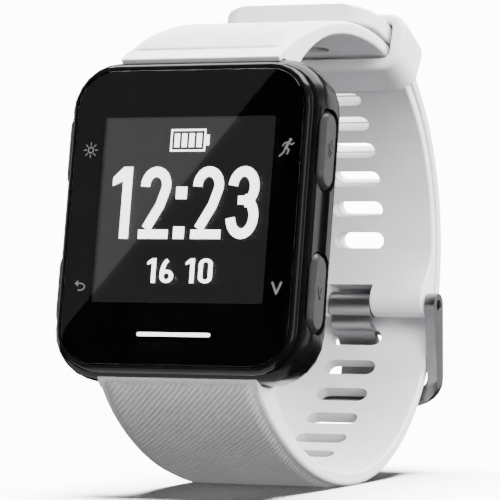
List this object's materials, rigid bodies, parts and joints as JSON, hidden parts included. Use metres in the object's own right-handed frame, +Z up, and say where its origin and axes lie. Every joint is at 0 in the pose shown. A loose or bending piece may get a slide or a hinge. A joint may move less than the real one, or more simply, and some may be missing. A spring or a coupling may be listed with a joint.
{
  "type": "gps running watch",
  "caption": "Square running watch on a closed silicone strap: black case, side buttons, optical sensor behind, sliding keeper and pin buckle.",
  "frame": {"origin": "middle of the overall box in X and Y, at the level that the strap's underside stands on", "axes": "+Z up, +X towards the 3 o'clock side, -Y the way the display faces; the watch leans back 10.1 degrees about X, as it stands on its strap"},
  "size_m": [0.0356, 0.0642, 0.0633],
  "materials": {
    "glass": "polished, dark tinted cover glass",
    "case_black": "smooth black fibre-reinforced polymer",
    "bezel_black": "gloss black",
    "cover_black": "fine matte black",
    "button_black": "satin black",
    "silicone_white": "soft white silicone, satin",
    "seal_rubber": "black seal",
    "buckle_steel": "brushed faces with polished edges",
    "pin_steel": "turned and polished",
    "screw_steel": "satin steel",
    "display": "display panel",
    "frame_plastic": "grey moulded plastic",
    "board_green": "green solder mask",
    "cell_foil": "battery foil",
    "ceramic": "cream ceramic",
    "brass": "dense metal weight",
    "gold": "gold plated",
    "led_green": "green emitter",
    "detector": "dark detector",
    "sensor_window": "dark optical window"
  },
  "bodies": {
    "watch": {"battery": "cell_foil", "buckle_pin": "pin_steel", "case_screw_1": "screw_steel", "case_screw_2": "screw_steel", "case_screw_3": "screw_steel", "case_screw_4": "screw_steel", "charge_contact_1": "gold", "charge_contact_2": "gold", "charge_contact_3": "gold", "charge_contact_4": "gold", "cover_lens": "glass", "display_module": "display", "front_bezel": "bezel_black", "gps_antenna": "ceramic", "inner_frame": "frame_plastic", "led_left": "led_green", "led_right": "led_green", "lens_gasket": "seal_rubber", "lower_strap": "silicone_white", "main_board": "board_green", "mid_case": "case_black", "motor_can": "screw_steel", "photodiode": "detector", "rear_cover": "cover_black", "rear_gasket": "seal_rubber", "seal_back": "seal_rubber", "seal_down": "seal_rubber", "seal_light": "seal_rubber", "seal_run": "seal_rubber", "sensor_board": "board_green", "sensor_window": "sensor_window", "strap_pin_lower": "pin_steel", "strap_pin_upper": "pin_steel", "switch_back": "screw_steel", "switch_down": "screw_steel", "switch_light": "screw_steel", "switch_run": "screw_steel", "upper_strap": "silicone_white"},
    "light_button": {"button_light": "button_black"},
    "back_button": {"button_back": "button_black"},
    "run_button": {"button_run": "button_black"},
    "down_button": {"button_down": "button_black"},
    "keeper": {"keeper_loop": "silicone_white"},
    "buckle": {"buckle_frame": "buckle_steel"},
    "tongue": {"buckle_tongue": "buckle_steel"},
    "motor_weight": {"motor_rotor": "brass"}
  },
  "joints": [
    {"name": "light_press", "type": "slide", "parent": "watch", "child": "light_button", "axis": [1, 0, 0], "range_m": [0, 0.0004], "stiffness_N_per_m": 1500, "springref_m": -0.0003},
    {"name": "back_press", "type": "slide", "parent": "watch", "child": "back_button", "axis": [1, 0, 0], "range_m": [0, 0.0004], "stiffness_N_per_m": 1500, "springref_m": -0.0003},
    {"name": "run_press", "type": "slide", "parent": "watch", "child": "run_button", "axis": [-1, 0, 0], "range_m": [0, 0.0004], "stiffness_N_per_m": 1500, "springref_m": -0.0003},
    {"name": "down_press", "type": "slide", "parent": "watch", "child": "down_button", "axis": [-1, 0, 0], "range_m": [0, 0.0004], "stiffness_N_per_m": 1500, "springref_m": -0.0003},
    {"name": "keeper_slide", "type": "hinge", "parent": "watch", "child": "keeper", "pos_m": [0, 0.00215, 0.03261], "axis": [-1, 0, 0], "range_deg": [-3.5, 17.5]},
    {"name": "buckle_hinge", "type": "hinge", "parent": "watch", "child": "buckle", "pos_m": [0, 0.02633, 0.02295], "axis": [1, 0, 0], "range_deg": [0, 1]},
    {"name": "tongue_hinge", "type": "hinge", "parent": "buckle", "child": "tongue", "pos_m": [0, 0.02633, 0.02295], "axis": [1, 0, 0], "range_deg": [0, 0.5]},
    {"name": "motor_spin", "type": "hinge", "parent": "watch", "child": "motor_weight", "pos_m": [0, -0.02411, 0.02091], "axis": [0, 0.9845, -0.1754], "continuous": true}
  ]
}
